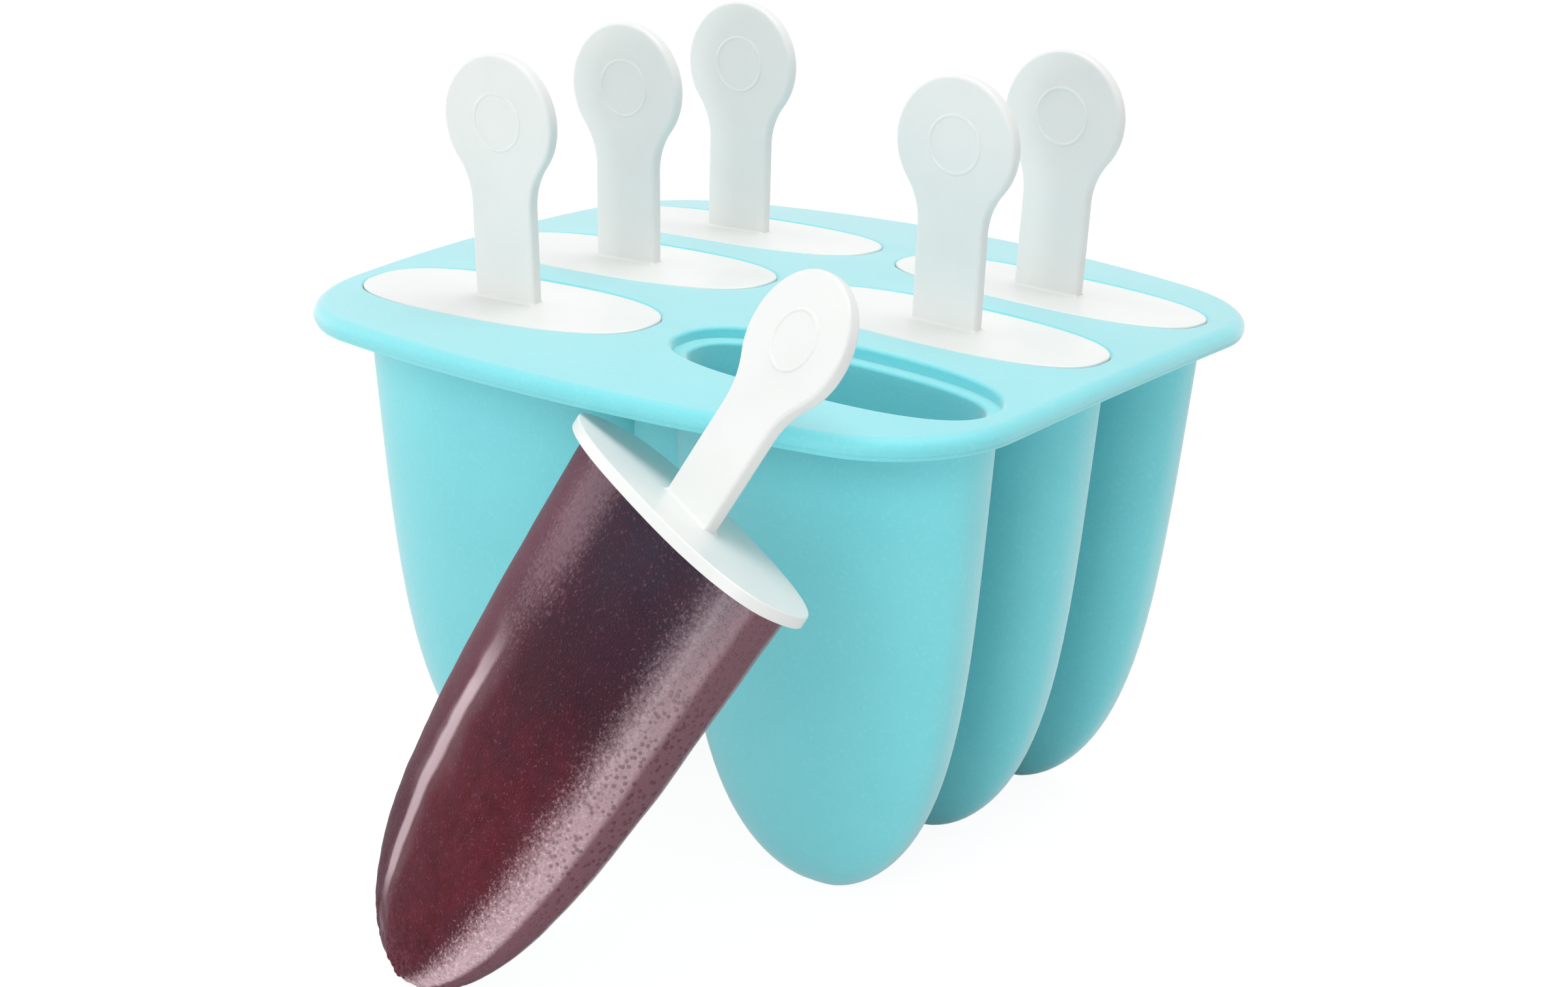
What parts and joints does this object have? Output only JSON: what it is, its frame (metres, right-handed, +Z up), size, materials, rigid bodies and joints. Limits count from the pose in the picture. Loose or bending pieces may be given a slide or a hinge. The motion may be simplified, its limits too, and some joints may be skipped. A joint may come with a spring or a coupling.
{
  "type": "ice pop mold",
  "caption": "Silicone ice pop mould with deep oval cups under a crowned rim, stick lids with round heads, and one frozen pop lifted out and leaning on the rim.",
  "frame": {"origin": "on the table, in the middle of the footprint of the whole set, the leaning pop included", "axes": "+X along the cups' long sections, towards the column with the empty cup; +Y from the front, where the pop leans, to the back; +Z up"},
  "size_m": [0.154, 0.1886, 0.1478],
  "materials": {
    "silicone": "satin",
    "stick": "satin",
    "frozen_pop": "frosted"
  },
  "bodies": {
    "root": {"silicone_body": "silicone", "stick_front_left": "stick", "stick_middle_left": "stick", "stick_back_left": "stick", "stick_middle_right": "stick", "stick_back_right": "stick", "stick_front_right": "stick", "frozen_pop": "frozen_pop"}
  },
  "joints": []
}
